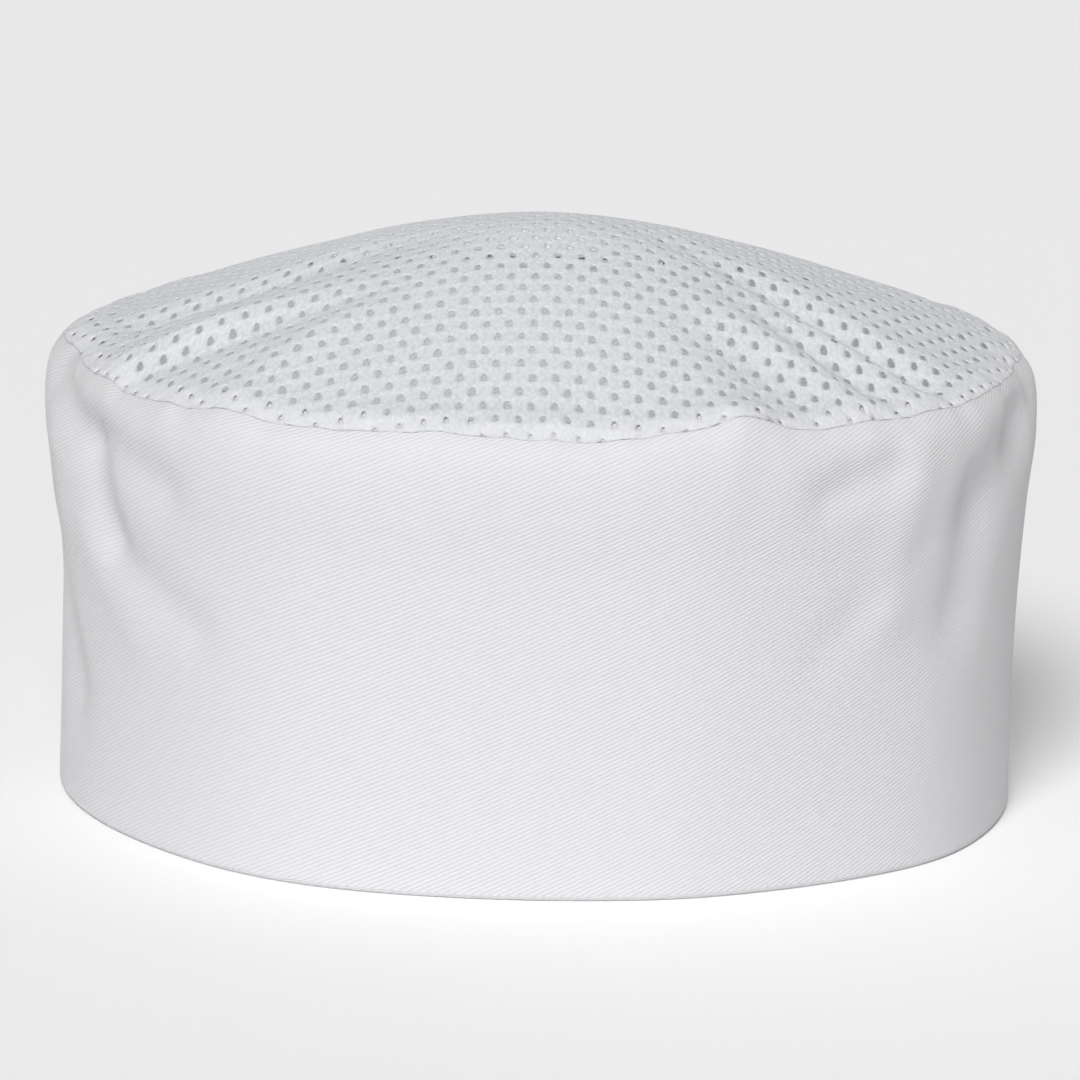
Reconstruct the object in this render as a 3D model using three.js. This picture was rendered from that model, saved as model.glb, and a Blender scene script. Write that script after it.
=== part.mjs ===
// Chef skull cap: a pillbox of folded cotton twill under a soft domed crown of holed knit.
//
// Frame: millimetres, +Z up. The cap stands on its open rim, as on a table: the rim's plane is
// z = 0 and the origin is the middle of the mouth. -Y is the front of the head and +X its right.
// Angles run round the cap in degrees, 0 at the front and 90 towards +X.

import * as THREE from 'three';

// Driving dimensions of the band, in millimetres
const rimHalfWidth = 93.8;
const bandHeight = 88.4;
const bandThickness = 2.0;
const seamAllowance = 9;
const lipThickness = 1.2;

// Driving dimensions of the crown, in millimetres
const crownRise = 27.2;
const crownThickness = 1.1;
const apexForward = 18;
const seamClearance = 0.35;

// How square the plan is: 2 is a true ellipse
const planExponent = 2.0;
// How steeply the dome leaves the seam: 1 is a straight cone, 2 a round bowl
const domeExponent = 1.42;
// Share of the way out from the apex that is blunted
const apexBlunting = 0.14;

// How finely the surfaces are faceted
const segmentsAround = 96;
const stepsPerSection = 2;
const crownRings = 13;
const ringCrowding = 1.35;
const lipRings = 3;

// The wall's section from the rim up. height is a share of bandHeight, side and front are the
// half width and the half depth of the plan there, as shares of rimHalfWidth.
const wallSections = [
  { height: 0.000, side: 1.000, front: 0.938 },
  { height: 0.260, side: 0.997, front: 0.950 },
  { height: 0.500, side: 1.003, front: 0.966 },
  { height: 0.700, side: 1.017, front: 0.986 },
  { height: 0.830, side: 1.030, front: 1.006 },
  { height: 0.915, side: 1.030, front: 1.013 },
  { height: 0.970, side: 1.018, front: 1.008 },
  { height: 1.000, side: 0.994, front: 0.990 },
];
// The inner wall follows the outer one up to this share of the height, below the lip
const innerWallTop = 0.93;

// Where the plan swells past its smooth outline all the way up. swell is a share of
// rimHalfWidth, width is half its reach in degrees.
const planSwells = [
  { angle: -31, width: 19, swell: 0.030 },
  { angle: 18, width: 8, swell: 0.005 },
  { angle: 56, width: 13, swell: 0.016 },
  { angle: 128, width: 22, swell: 0.010 },
  { angle: -132, width: 22, swell: 0.012 },
];

// Where the seam between band and crown rises or dips. rise is a share of bandHeight.
const seamWaves = [
  { angle: -71, width: 7, rise: -0.013 },
  { angle: -54, width: 8, rise: -0.008 },
  { angle: -44, width: 3, rise: -0.008 },
  { angle: -26, width: 8, rise: -0.012 },
  { angle: 3, width: 8, rise: -0.011 },
  { angle: 19, width: 6, rise: 0.010 },
  { angle: 25, width: 3.6, rise: 0.040 },
  { angle: 33, width: 4, rise: -0.005 },
  { angle: 66, width: 10, rise: 0.008 },
  { angle: -118, width: 26, rise: -0.013 },
];

// Soft folds of the band. Each is a straight stroke on the unrolled wall, from one angle and
// share of the height to another. width and depth are shares of rimHalfWidth, and a negative
// depth is a valley.
const bandFolds = [
  { angle: -67, height: 0.92, toAngle: -45, toHeight: 0.85, width: 0.055, depth: -0.020 },
  { angle: -58, height: 0.87, toAngle: -54, toHeight: 0.72, width: 0.040, depth: -0.014 },
  { angle: -61, height: 0.60, toAngle: -52, toHeight: 0.38, width: 0.065, depth: 0.012 },
  { angle: -90, height: 0.46, toAngle: -64, toHeight: 0.36, width: 0.090, depth: -0.013 },
  { angle: -49, height: 0.57, toAngle: -37, toHeight: 0.42, width: 0.055, depth: -0.006 },
  { angle: 75, height: 0.97, toAngle: 61, toHeight: 0.91, width: 0.040, depth: -0.022 },
  { angle: 61, height: 0.91, toAngle: 54, toHeight: 0.81, width: 0.045, depth: -0.028 },
  { angle: 54, height: 0.81, toAngle: 55, toHeight: 0.58, width: 0.055, depth: -0.022 },
  { angle: 40, height: 0.88, toAngle: 39, toHeight: 0.56, width: 0.070, depth: 0.010 },
  { angle: 32, height: 0.91, toAngle: 39, toHeight: 0.96, width: 0.035, depth: -0.010 },
  { angle: 47, height: 0.70, toAngle: 35, toHeight: 0.51, width: 0.055, depth: -0.007 },
  { angle: -88, height: 0.70, toAngle: -88, toHeight: 0.92, width: 0.200, depth: 0.005 },
  { angle: 90, height: 0.78, toAngle: 90, toHeight: 0.92, width: 0.180, depth: -0.006 },
];

// Soft folds of the crown, each a straight stroke in plan. x and y are shares of
// rimHalfWidth, and so are width and depth; a positive depth stands up, a negative one sinks.
const crownFolds = [
  { x: -0.93, y: -0.42, toX: -0.42, toY: -0.42, width: 0.060, depth: 0.022 },
  { x: -0.80, y: -0.16, toX: -0.34, toY: -0.23, width: 0.070, depth: -0.026 },
  { x: -0.80, y: -0.52, toX: -0.37, toY: -0.50, width: 0.045, depth: -0.012 },
  { x: -0.61, y: -0.71, toX: -0.32, toY: -0.53, width: 0.055, depth: 0.010 },
  { x: 0.28, y: -0.61, toX: 0.52, toY: -0.77, width: 0.045, depth: -0.013 },
  { x: 0.33, y: -0.50, toX: 0.62, toY: -0.71, width: 0.040, depth: 0.010 },
  { x: 0.42, y: -0.46, toX: 0.69, toY: -0.67, width: 0.040, depth: -0.014 },
  { x: 0.50, y: -0.38, toX: 0.76, toY: -0.59, width: 0.045, depth: 0.012 },
  { x: 0.32, y: -0.26, toX: 0.76, toY: -0.53, width: 0.055, depth: -0.024 },
  { x: 0.56, y: -0.18, toX: 0.93, toY: -0.12, width: 0.090, depth: 0.010 },
  { x: 0.72, y: 0.05, toX: 0.90, toY: 0.10, width: 0.220, depth: 0.014 },
  { x: 0.30, y: -0.02, toX: 0.55, toY: 0.00, width: 0.160, depth: -0.010 },
  { x: -0.75, y: 0.10, toX: -0.40, toY: 0.00, width: 0.250, depth: -0.018 },
];

// Turns an angle round the cap into the plan's direction there
function direction(angle) {
  const turn = THREE.MathUtils.degToRad(angle);
  return new THREE.Vector2(Math.sin(turn), -Math.cos(turn));
}

// A bell curve of height 1 that falls to a third at one width from its middle
function bell(distance, width) {
  return Math.exp(-((distance / width) ** 2));
}

// The signed difference of two angles, by the short way round
function angleBetween(first, second) {
  return THREE.MathUtils.euclideanModulo(first - second + 180, 360) - 180;
}

// Distance from a point to the stroke between two others, all on one plane
function strokeDistance(point, start, end) {
  const line = new THREE.Line3(
    new THREE.Vector3(start.x, start.y, 0),
    new THREE.Vector3(end.x, end.y, 0),
  );
  const probe = new THREE.Vector3(point.x, point.y, 0);
  const nearest = line.closestPointToPoint(probe, true, new THREE.Vector3());
  return nearest.distanceTo(probe);
}

// Sum of the bells of a table's rows at an angle
function waveAt(rows, column, angle) {
  return rows.reduce(
    (sum, row) => sum + row[column] * bell(angleBetween(angle, row.angle), row.width),
    0,
  );
}

// The smooth section curve through the table's rows: x and y carry the side and front
// reaches and z the height, all in millimetres
const sectionCurve = new THREE.CatmullRomCurve3(
  wallSections.map((row) => new THREE.Vector3(
    row.side * rimHalfWidth,
    row.front * rimHalfWidth,
    row.height * bandHeight,
  )),
  false,
  'centripetal',
);
const sectionCount = wallSections.length - 1;

// Plan radius of an outline with the given half width and half depth
function outlineRadius(angle, halfWidth, halfDepth) {
  const way = direction(angle);
  const across = Math.abs(way.x / halfWidth) ** planExponent;
  const along = Math.abs(way.y / halfDepth) ** planExponent;
  return (across + along) ** (-1 / planExponent) + waveAt(planSwells, 'swell', angle) * rimHalfWidth;
}

// How far the band's folds push its wall out at an angle and height
function bandFoldDepth(angle, height) {
  const girth = THREE.MathUtils.degToRad(rimHalfWidth);
  return bandFolds.reduce((sum, fold) => {
    const turn = angleBetween(angle, fold.angle);
    const distance = strokeDistance(
      { x: turn * girth, y: height },
      { x: 0, y: fold.height * bandHeight },
      { x: angleBetween(fold.toAngle, fold.angle) * girth, y: fold.toHeight * bandHeight },
    );
    return sum + fold.depth * rimHalfWidth * bell(distance, fold.width * rimHalfWidth);
  }, 0);
}

// Reach and height of the band's outer face at an angle, share 0 being the rim and 1 the seam
function outerReach(angle, share) {
  const row = sectionCurve.getPoint(share);
  const lift = waveAt(seamWaves, 'rise', angle) * bandHeight;
  return {
    reach: outlineRadius(angle, row.x, row.y) + bandFoldDepth(angle, row.z),
    height: row.z + lift * (row.z / bandHeight) ** 4,
  };
}

// A point from an angle, a reach in plan and a height
function placed(angle, reach, height) {
  const way = direction(angle);
  return new THREE.Vector3(way.x * reach, way.y * reach, height);
}

// Outer face of the band
function bandOuter(angle, share) {
  const { reach, height } = outerReach(angle, share);
  return placed(angle, reach, height);
}

// Inner face of the band: the outer one moved in along the section's normal
function bandInner(angle, share) {
  const step = 0.01;
  const low = outerReach(angle, Math.max(share - step, 0));
  const high = outerReach(angle, Math.min(share + step, 1));
  const here = outerReach(angle, share);
  const normal = new THREE.Vector2(high.height - low.height, low.reach - high.reach).normalize();
  const inward = share === 0 ? new THREE.Vector2(1, 0) : normal;
  return placed(
    angle,
    here.reach - inward.x * bandThickness,
    here.height - inward.y * bandThickness,
  );
}

// Height of the crown over a plan point, with its folds fading out at the seam
function crownHeight(x, y, out, seamHeight) {
  const blunt = (value) => (value ** 2 + apexBlunting ** 2) ** (domeExponent / 2);
  const dome = (blunt(1) - blunt(out)) / (blunt(1) - blunt(0));
  const folds = crownFolds.reduce((sum, fold) => {
    const distance = strokeDistance(
      { x, y },
      { x: fold.x * rimHalfWidth, y: fold.y * rimHalfWidth },
      { x: fold.toX * rimHalfWidth, y: fold.toY * rimHalfWidth },
    );
    return sum + fold.depth * rimHalfWidth * bell(distance, fold.width * rimHalfWidth);
  }, 0);
  const held = 1 - out ** 12;
  return seamHeight + crownRise * dome + folds * held;
}

// Outer face of the crown, out being 0 at the apex and 1 at the seam
function crownOuter(angle, out) {
  const seam = outerReach(angle, 1);
  const edge = placed(angle, seam.reach - seamClearance, 0);
  const apex = new THREE.Vector3(0, -apexForward, 0);
  const plan = apex.lerp(edge, out);
  plan.z = crownHeight(plan.x, plan.y, out, bandHeight + (seam.height - bandHeight) * out ** 2);
  return plan;
}

// The crown's face moved in along its own normal
function crownBelow(angle, out, depth) {
  const step = 0.004;
  const turn = 0.4;
  const middle = crownOuter(angle, out);
  if (out === 0) {
    return middle.setZ(middle.z - depth);
  }
  const along = crownOuter(angle, out).sub(crownOuter(angle, out - step));
  const across = crownOuter(angle + turn, out).sub(crownOuter(angle - turn, out));
  const normal = along.cross(across).normalize();
  return middle.addScaledVector(normal, -depth);
}

// Share of the way out at which the lip's inner edge lies under the crown
function lipStart(angle) {
  const seam = placed(angle, outerReach(angle, 1).reach, 0);
  return 1 - seamAllowance / seam.distanceTo(new THREE.Vector3(0, -apexForward, 0));
}

// One closed section of the band at an angle, from the rim's outer corner up the outer face,
// over the shoulder, in along the lip and down the inner face
function bandSection(angle) {
  const points = [];
  for (let i = 0; i <= sectionCount * stepsPerSection; i += 1) {
    points.push(bandOuter(angle, i / (sectionCount * stepsPerSection)));
  }
  const lipTop = crownThickness + seamClearance;
  for (let i = 0; i <= lipRings; i += 1) {
    const out = THREE.MathUtils.lerp(1, lipStart(angle), i / lipRings);
    points.push(crownBelow(angle, out, lipTop));
  }
  for (let i = lipRings; i > 0; i -= 1) {
    const out = THREE.MathUtils.lerp(1, lipStart(angle), i / lipRings);
    points.push(crownBelow(angle, out, lipTop + lipThickness));
  }
  const innerSteps = Math.round(innerWallTop * sectionCount * stepsPerSection);
  for (let i = innerSteps - 1; i >= 0; i -= 1) {
    points.push(bandInner(angle, i / (sectionCount * stepsPerSection)));
  }
  return points;
}

// A closed ring of closed sections, as one indexed geometry with its faces outward
function ringOfSections(sectionAt) {
  const positions = [];
  const faces = [];
  let rows = 0;
  for (let i = 0; i < segmentsAround; i += 1) {
    const section = sectionAt((i * 360) / segmentsAround);
    rows = section.length;
    section.forEach((point) => positions.push(point.x, point.y, point.z));
  }
  for (let i = 0; i < segmentsAround; i += 1) {
    const next = (i + 1) % segmentsAround;
    for (let j = 0; j < rows; j += 1) {
      const up = (j + 1) % rows;
      const corners = [i * rows + j, next * rows + j, next * rows + up, i * rows + up];
      faces.push(corners[0], corners[1], corners[2], corners[0], corners[2], corners[3]);
    }
  }
  return indexed(positions, faces);
}

// Share of the way out of one of the crown's rings, which stand closer towards the seam
function ringShare(ring) {
  return 1 - (1 - ring / crownRings) ** ringCrowding;
}

// A domed shell between an outer and an inner face that share an apex line and an edge
function shell(outerAt, innerAt) {
  const positions = [];
  const faces = [];
  const sides = [outerAt, innerAt];
  sides.forEach((side) => {
    const apex = side(0, 0);
    positions.push(apex.x, apex.y, apex.z);
    for (let ring = 1; ring <= crownRings; ring += 1) {
      for (let i = 0; i < segmentsAround; i += 1) {
        const point = side((i * 360) / segmentsAround, ringShare(ring));
        positions.push(point.x, point.y, point.z);
      }
    }
  });
  const perSide = 1 + crownRings * segmentsAround;
  const at = (side, ring, i) => side * perSide + 1 + (ring - 1) * segmentsAround + (i % segmentsAround);
  for (let i = 0; i < segmentsAround; i += 1) {
    faces.push(0, at(0, 1, i), at(0, 1, i + 1));
    faces.push(perSide, at(1, 1, i + 1), at(1, 1, i));
    for (let ring = 1; ring < crownRings; ring += 1) {
      const top = [at(0, ring, i), at(0, ring + 1, i), at(0, ring + 1, i + 1), at(0, ring, i + 1)];
      faces.push(top[0], top[1], top[2], top[0], top[2], top[3]);
      const low = [at(1, ring, i), at(1, ring, i + 1), at(1, ring + 1, i + 1), at(1, ring + 1, i)];
      faces.push(low[0], low[1], low[2], low[0], low[2], low[3]);
    }
    const edge = [
      at(0, crownRings, i),
      at(1, crownRings, i),
      at(1, crownRings, i + 1),
      at(0, crownRings, i + 1),
    ];
    faces.push(edge[0], edge[1], edge[2], edge[0], edge[2], edge[3]);
  }
  return indexed(positions, faces);
}

// An indexed geometry with smooth normals
function indexed(positions, faces) {
  const geometry = new THREE.BufferGeometry();
  geometry.setAttribute('position', new THREE.Float32BufferAttribute(positions, 3));
  geometry.setIndex(faces);
  geometry.computeVertexNormals();
  return geometry;
}

// The twill band: a double wall, rounded over at the shoulder, with its allowance turned in
function makeBand() {
  const twill = new THREE.MeshStandardMaterial({ color: 0xe9e9eb, roughness: 0.92, metalness: 0 });
  const band = new THREE.Mesh(ringOfSections(bandSection), twill);
  band.name = 'band';
  return band;
}

// The crown: a thin dome whose edge lies on the band's lip
function makeCrown() {
  const knit = new THREE.MeshStandardMaterial({ color: 0xdcdde1, roughness: 0.88, metalness: 0 });
  const geometry = shell(crownOuter, (angle, out) => crownBelow(angle, out, crownThickness));
  const crown = new THREE.Mesh(geometry, knit);
  crown.name = 'crown';
  return crown;
}

const cap = new THREE.Group();
cap.name = 'chef_skull_cap';
cap.add(makeBand(), makeCrown());

export default cap;
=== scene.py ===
"""Chef skull cap: the looks of a pillbox of white twill with a soft domed crown of holed knit.

Every length is in millimetres until a mesh is written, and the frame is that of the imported
model: +Z up, the front of the cap towards -Y, the origin in the middle of the mouth. Angles run
round the cap in degrees, 0 at the front and 90 towards +X.
"""

import logging
import math
from dataclasses import dataclass, field
from enum import Enum
from typing import Any, ClassVar

import bpy
import numpy as np
from mathutils import Matrix, Vector

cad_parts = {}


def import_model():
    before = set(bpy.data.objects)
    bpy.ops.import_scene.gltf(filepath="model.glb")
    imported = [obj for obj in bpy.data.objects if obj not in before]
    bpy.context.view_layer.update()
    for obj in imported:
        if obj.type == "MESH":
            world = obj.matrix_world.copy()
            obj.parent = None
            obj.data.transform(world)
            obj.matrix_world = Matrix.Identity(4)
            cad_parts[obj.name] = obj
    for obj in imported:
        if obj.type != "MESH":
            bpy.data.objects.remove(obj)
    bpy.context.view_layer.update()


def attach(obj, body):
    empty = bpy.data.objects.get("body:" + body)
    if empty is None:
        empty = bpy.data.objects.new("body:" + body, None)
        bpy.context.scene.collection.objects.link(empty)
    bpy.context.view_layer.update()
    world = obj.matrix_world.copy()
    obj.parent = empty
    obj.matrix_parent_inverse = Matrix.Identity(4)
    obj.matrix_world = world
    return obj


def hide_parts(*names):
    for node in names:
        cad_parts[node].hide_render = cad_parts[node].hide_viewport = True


MM = 0.001
CLOTH_UV = "cloth"
DOUBLED = "doubled"

log = logging.getLogger("chef_skull_cap")


class Slot(Enum):
    """The record's material slots."""

    TWILL = "twill"
    KNIT = "mesh_knit"


# Curves that both cloths use


def bell(distance: np.ndarray, width: float) -> np.ndarray:
    """Bell curve of height 1: e to the minus square of distance over width."""
    return np.exp(-((distance / width) ** 2))


def smooth(low: float, high: float, value: np.ndarray) -> np.ndarray:
    """Smoothstep: 0 below low, 1 above high, and 3t squared minus 2t cubed between."""
    share = np.clip((value - low) / (high - low), 0.0, 1.0)
    return share * share * (3.0 - 2.0 * share)


def turn_between(first: np.ndarray, second: float) -> np.ndarray:
    """Signed difference of two angles in degrees, the short way round."""
    return (first - second + 180.0) % 360.0 - 180.0


def stroke_distance(x: np.ndarray, y: np.ndarray, start: tuple[float, float],
                    end: tuple[float, float]) -> tuple[np.ndarray, np.ndarray]:
    """Distance from points to a straight stroke, and how far along it they lie.

    Formula: each point is dropped onto the line from start to end, the foot is held between the
    two ends, and the distance to that foot is returned.

    Args:
        x: First coordinate of the points.
        y: Second coordinate of the points.
        start: First end of the stroke.
        end: Other end of the stroke.

    Returns:
        The distances and the shares of the way along, each in the shape of x.
    """
    run = (end[0] - start[0], end[1] - start[1])
    square = run[0] ** 2 + run[1] ** 2
    share = np.clip(((x - start[0]) * run[0] + (y - start[1]) * run[1]) / square, 0.0, 1.0)
    return np.hypot(x - start[0] - share * run[0], y - start[1] - share * run[1]), share


@dataclass(frozen=True)
class Section:
    """One height of the band's wall, as shares of the band's height and the rim's half width."""

    height: float
    side: float
    front: float


@dataclass(frozen=True)
class Wave:
    """A bell-shaped wave round the cap: where, how wide in degrees, and how high.

    The rise is a share of the rim's half width in the plan, and of the band's height at the seam.
    """

    angle: float
    width: float
    rise: float


@dataclass(frozen=True)
class Fold:
    """A soft fold along a stroke, from one place to another, with its width and depth.

    On the band a place is an angle and a share of the height, on the crown it is x and y as
    shares of the rim's half width, from the seam inwards. Width and depth are shares of the
    rim's half width.
    """

    start: tuple[float, float]
    end: tuple[float, float]
    width: float
    depth: float


@dataclass(frozen=True)
class CapForm:
    """The form that both cloths share: plan, wall section, seam, dome and folds.

    The powers say how fast the seam's waves die away down the wall and in over the crown, and
    how close to the seam the crown's folds run.
    """

    rim_half_width: float = 93.8
    band_height: float = 88.4
    band_thickness: float = 2.0
    crown_rise: float = 27.2
    apex_forward: float = 18.0
    seam_clearance: float = 0.03
    dome_exponent: float = 1.42
    apex_blunting: float = 0.14
    stitch_pull: float = 0.16
    welt_height: float = 0.6
    welt_inset: float = 4.5
    welt_width: float = 3.6
    sections: tuple[Section, ...] = (
        Section(0.000, 1.000, 0.938),
        Section(0.260, 0.997, 0.950),
        Section(0.500, 1.003, 0.966),
        Section(0.700, 1.017, 0.986),
        Section(0.830, 1.030, 1.006),
        Section(0.915, 1.030, 1.013),
        Section(0.970, 1.018, 1.008),
        Section(1.000, 0.994, 0.990),
    )
    plan_swells: tuple[Wave, ...] = (
        Wave(-31, 19, 0.030),
        Wave(18, 8, 0.005),
        Wave(56, 13, 0.016),
        Wave(128, 22, 0.010),
        Wave(-132, 22, 0.012),
    )
    seam_waves: tuple[Wave, ...] = (
        Wave(-71, 7, -0.013),
        Wave(-54, 9, -0.024),
        Wave(-44, 3, -0.008),
        Wave(-26, 8, -0.012),
        Wave(3, 8, -0.011),
        Wave(19, 6, 0.010),
        Wave(23.4, 4.6, 0.028),
        Wave(33, 4, -0.005),
        Wave(66, 10, 0.008),
        Wave(-118, 26, -0.013),
    )
    band_folds: tuple[Fold, ...] = (
        Fold((-78, 0.95), (-66, 0.86), 0.075, -0.030),
        Fold((-63, 0.84), (-60, 0.66), 0.075, -0.024),
        Fold((-58, 0.88), (-47, 0.82), 0.060, -0.017),
        Fold((-77, 0.84), (-73, 0.66), 0.080, 0.010),
        Fold((-66, 0.64), (-54, 0.46), 0.060, 0.007),
        Fold((-84, 0.50), (-73, 0.28), 0.090, -0.020),
        Fold((-58, 0.65), (-43, 0.52), 0.055, -0.010),
        Fold((82, 0.97), (70, 0.90), 0.060, -0.020),
        Fold((70, 0.89), (60, 0.80), 0.090, -0.024),
        Fold((59, 0.78), (57, 0.56), 0.090, -0.022),
        Fold((46, 0.92), (44, 0.58), 0.060, 0.010),
        Fold((34, 0.86), (43, 0.90), 0.050, -0.014),
        Fold((47, 0.70), (35, 0.51), 0.055, -0.005),
        Fold((-88, 0.70), (-88, 0.92), 0.200, 0.005),
        Fold((90, 0.78), (90, 0.92), 0.180, -0.006),
    )
    crown_folds: tuple[Fold, ...] = (
        Fold((-0.93, -0.42), (-0.40, -0.42), 0.062, 0.024),
        Fold((-0.80, -0.16), (-0.26, -0.24), 0.070, -0.028),
        Fold((-0.80, -0.52), (-0.30, -0.49), 0.045, -0.013),
        Fold((-0.61, -0.71), (-0.27, -0.49), 0.055, 0.011),
        Fold((0.52, -0.77), (0.25, -0.58), 0.050, -0.011),
        Fold((0.62, -0.71), (0.27, -0.46), 0.042, 0.011),
        Fold((0.69, -0.67), (0.36, -0.41), 0.042, -0.024),
        Fold((0.76, -0.59), (0.42, -0.32), 0.045, 0.015),
        Fold((0.76, -0.53), (0.26, -0.20), 0.055, -0.044),
        Fold((0.93, -0.12), (0.50, -0.19), 0.090, 0.011),
        Fold((0.90, 0.10), (0.70, 0.04), 0.220, 0.014),
        Fold((0.55, 0.00), (0.25, -0.02), 0.160, -0.011),
        Fold((-0.75, 0.10), (-0.36, -0.01), 0.250, -0.019),
    )
    fold_taper: float = 0.75
    taper_start: float = 0.45
    wall_wave_power: int = 4
    crown_wave_power: int = 6
    fold_end_power: int = 12
    seam_samples: int = 1441

    def section_at(self, share: np.ndarray) -> tuple[np.ndarray, np.ndarray, np.ndarray]:
        """Half width, half depth and height of the wall along its section.

        Formula: a cubic Hermite curve through the rows, whose slope at each row is half the step
        between the rows on either side.

        Args:
            share: 0 at the rim and 1 at the seam, counted in rows of the table.

        Returns:
            Half width, half depth and height in millimetres, each in the shape of share.
        """
        rows = np.array([[s.side * self.rim_half_width, s.front * self.rim_half_width,
                          s.height * self.band_height] for s in self.sections])
        slopes = np.gradient(rows, axis=0)
        row = np.clip(share, 0.0, 1.0) * (len(rows) - 1)
        index = np.minimum(row.astype(int), len(rows) - 2)
        t = (row - index)[..., None]
        curve = (rows[index] * (1 + 2 * t) * (1 - t) ** 2 + slopes[index] * t * (1 - t) ** 2
                 + rows[index + 1] * t * t * (3 - 2 * t) - slopes[index + 1] * t * t * (1 - t))
        return curve[..., 0], curve[..., 1], curve[..., 2]

    def plan_radius(self, angle: np.ndarray, half_width: np.ndarray,
                    half_depth: np.ndarray) -> np.ndarray:
        """Plan radius at an angle: an ellipse in polar form plus the bells of the swells."""
        turn = np.radians(angle)
        ellipse = 1.0 / np.hypot(np.sin(turn) / half_width, np.cos(turn) / half_depth)
        swell = sum(w.rise * bell(turn_between(angle, w.angle), w.width) for w in self.plan_swells)
        return ellipse + swell * self.rim_half_width

    def seam_lift(self, angle: np.ndarray) -> np.ndarray:
        """How far the seam rises over its mean height at an angle.

        Formula: the sum of the seam's waves, plus three sines of 29, 47 and 83 turns round the
        cap that stand for the pull of its stitches.

        Args:
            angle: Degrees round the cap.

        Returns:
            The rise in millimetres.
        """
        lift = sum(w.rise * bell(turn_between(angle, w.angle), w.width) for w in self.seam_waves)
        turn = np.radians(angle)
        pull = (np.sin(29 * turn + 1.3) + 0.8 * np.sin(47 * turn + 2.0 * np.sin(5 * turn))
                + 0.5 * np.sin(83 * turn + 0.4))
        return lift * self.band_height + self.stitch_pull * pull

    def band_fold_depth(self, angle: np.ndarray, height: np.ndarray) -> np.ndarray:
        """How far the folds push the wall out: the sum of a bell round each stroke."""
        unit = self.rim_half_width
        girth = math.radians(unit)
        total = np.zeros(np.broadcast(angle, height).shape)
        for fold in self.band_folds:
            run = turn_between(np.float64(fold.end[0]), fold.start[0]) * girth
            distance, _ = stroke_distance(
                turn_between(angle, fold.start[0]) * girth, height,
                (0.0, fold.start[1] * self.band_height),
                (run, fold.end[1] * self.band_height),
            )
            total += fold.depth * unit * bell(distance, fold.width * unit)
        return total

    def outer_reach(self, angle: np.ndarray, share: np.ndarray) -> tuple[np.ndarray, np.ndarray]:
        """Reach in plan and height of the wall's outer face.

        Args:
            angle: Degrees round the cap.
            share: 0 at the rim and 1 at the seam.

        Returns:
            Reach from the axis and height, in millimetres.
        """
        side, front, height = self.section_at(share)
        reach = self.plan_radius(angle, side, front) + self.band_fold_depth(angle, height)
        rise = (height / self.band_height) ** self.wall_wave_power
        return reach, height + self.seam_lift(angle) * rise

    def seam_reach(self, angle: np.ndarray) -> np.ndarray:
        """Plan radius of the crown's edge at an angle."""
        return self.outer_reach(angle, np.ones_like(angle))[0] - self.seam_clearance

    def crown_fold_depth(self, x: np.ndarray, y: np.ndarray) -> np.ndarray:
        """How far the crown's folds lift it.

        Formula: the sum of a bell round each stroke in plan, which grows weaker by a smoothstep
        towards the stroke's inner end, so that the fold runs out into the dome.

        Args:
            x: Plan coordinate to the right.
            y: Plan coordinate to the back.

        Returns:
            The lift in millimetres.
        """
        unit = self.rim_half_width
        total = np.zeros(np.broadcast(x, y).shape)
        for fold in self.crown_folds:
            distance, along = stroke_distance(x, y, (fold.start[0] * unit, fold.start[1] * unit),
                                              (fold.end[0] * unit, fold.end[1] * unit))
            strength = 1.0 - self.fold_taper * smooth(self.taper_start, 1.0, along)
            total += fold.depth * unit * strength * bell(distance, fold.width * unit)
        return total

    def outward_share(self, x: np.ndarray, y: np.ndarray) -> tuple[np.ndarray, np.ndarray]:
        """Share of the way from the apex to the seam of a plan point, and the angle there.

        Formula: the seam is a table of plan points at fine angles about the cap's axis. Seen
        from the apex they have bearings and distances of their own, and a point's share is its
        distance from the apex over the seam's distance at the same bearing.

        Args:
            x: Plan coordinate to the right.
            y: Plan coordinate to the back.

        Returns:
            The share, over 1 outside the seam, and the seam's angle about the axis.
        """
        angles = np.linspace(-180.0, 180.0, self.seam_samples)
        reach = self.seam_reach(angles)
        edge_x = np.sin(np.radians(angles)) * reach
        edge_y = -np.cos(np.radians(angles)) * reach + self.apex_forward
        bearing = np.degrees(np.unwrap(np.arctan2(edge_x, -edge_y)))
        bearing += -180.0 - bearing[0]
        away = np.hypot(edge_x, edge_y)
        here = np.degrees(np.arctan2(x, -(y + self.apex_forward)))
        share = np.hypot(x, y + self.apex_forward) / np.interp(here, bearing, away)
        return share, np.interp(here, bearing, angles)

    def inward(self, share: np.ndarray, angle: np.ndarray) -> np.ndarray:
        """How far in from the seam a place lies, from its outward share, and 0 past the seam."""
        return np.maximum(1.0 - share, 0.0) * self.seam_reach(angle)

    def crown_height(self, x: np.ndarray, y: np.ndarray) -> np.ndarray:
        """Height of the crown's outer face over a plan point.

        Formula: the seam's height, plus the rise times a blunted power of the share of the way
        out, plus the folds, which fade out at the seam.

        Args:
            x: Plan coordinate to the right.
            y: Plan coordinate to the back.

        Returns:
            The heights in millimetres.
        """
        share, angle = self.outward_share(x, y)
        inside = np.minimum(share, 1.0)
        power = self.dome_exponent / 2.0
        rim = (1.0 + self.apex_blunting ** 2) ** power
        apex = self.apex_blunting ** self.dome_exponent
        dome = (rim - (inside ** 2 + self.apex_blunting ** 2) ** power) / (rim - apex)
        folds = self.crown_fold_depth(x, y) * (1.0 - inside ** self.fold_end_power)
        waves = self.seam_lift(angle) * inside ** self.crown_wave_power
        return self.band_height + waves + self.crown_rise * dome + folds

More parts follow.
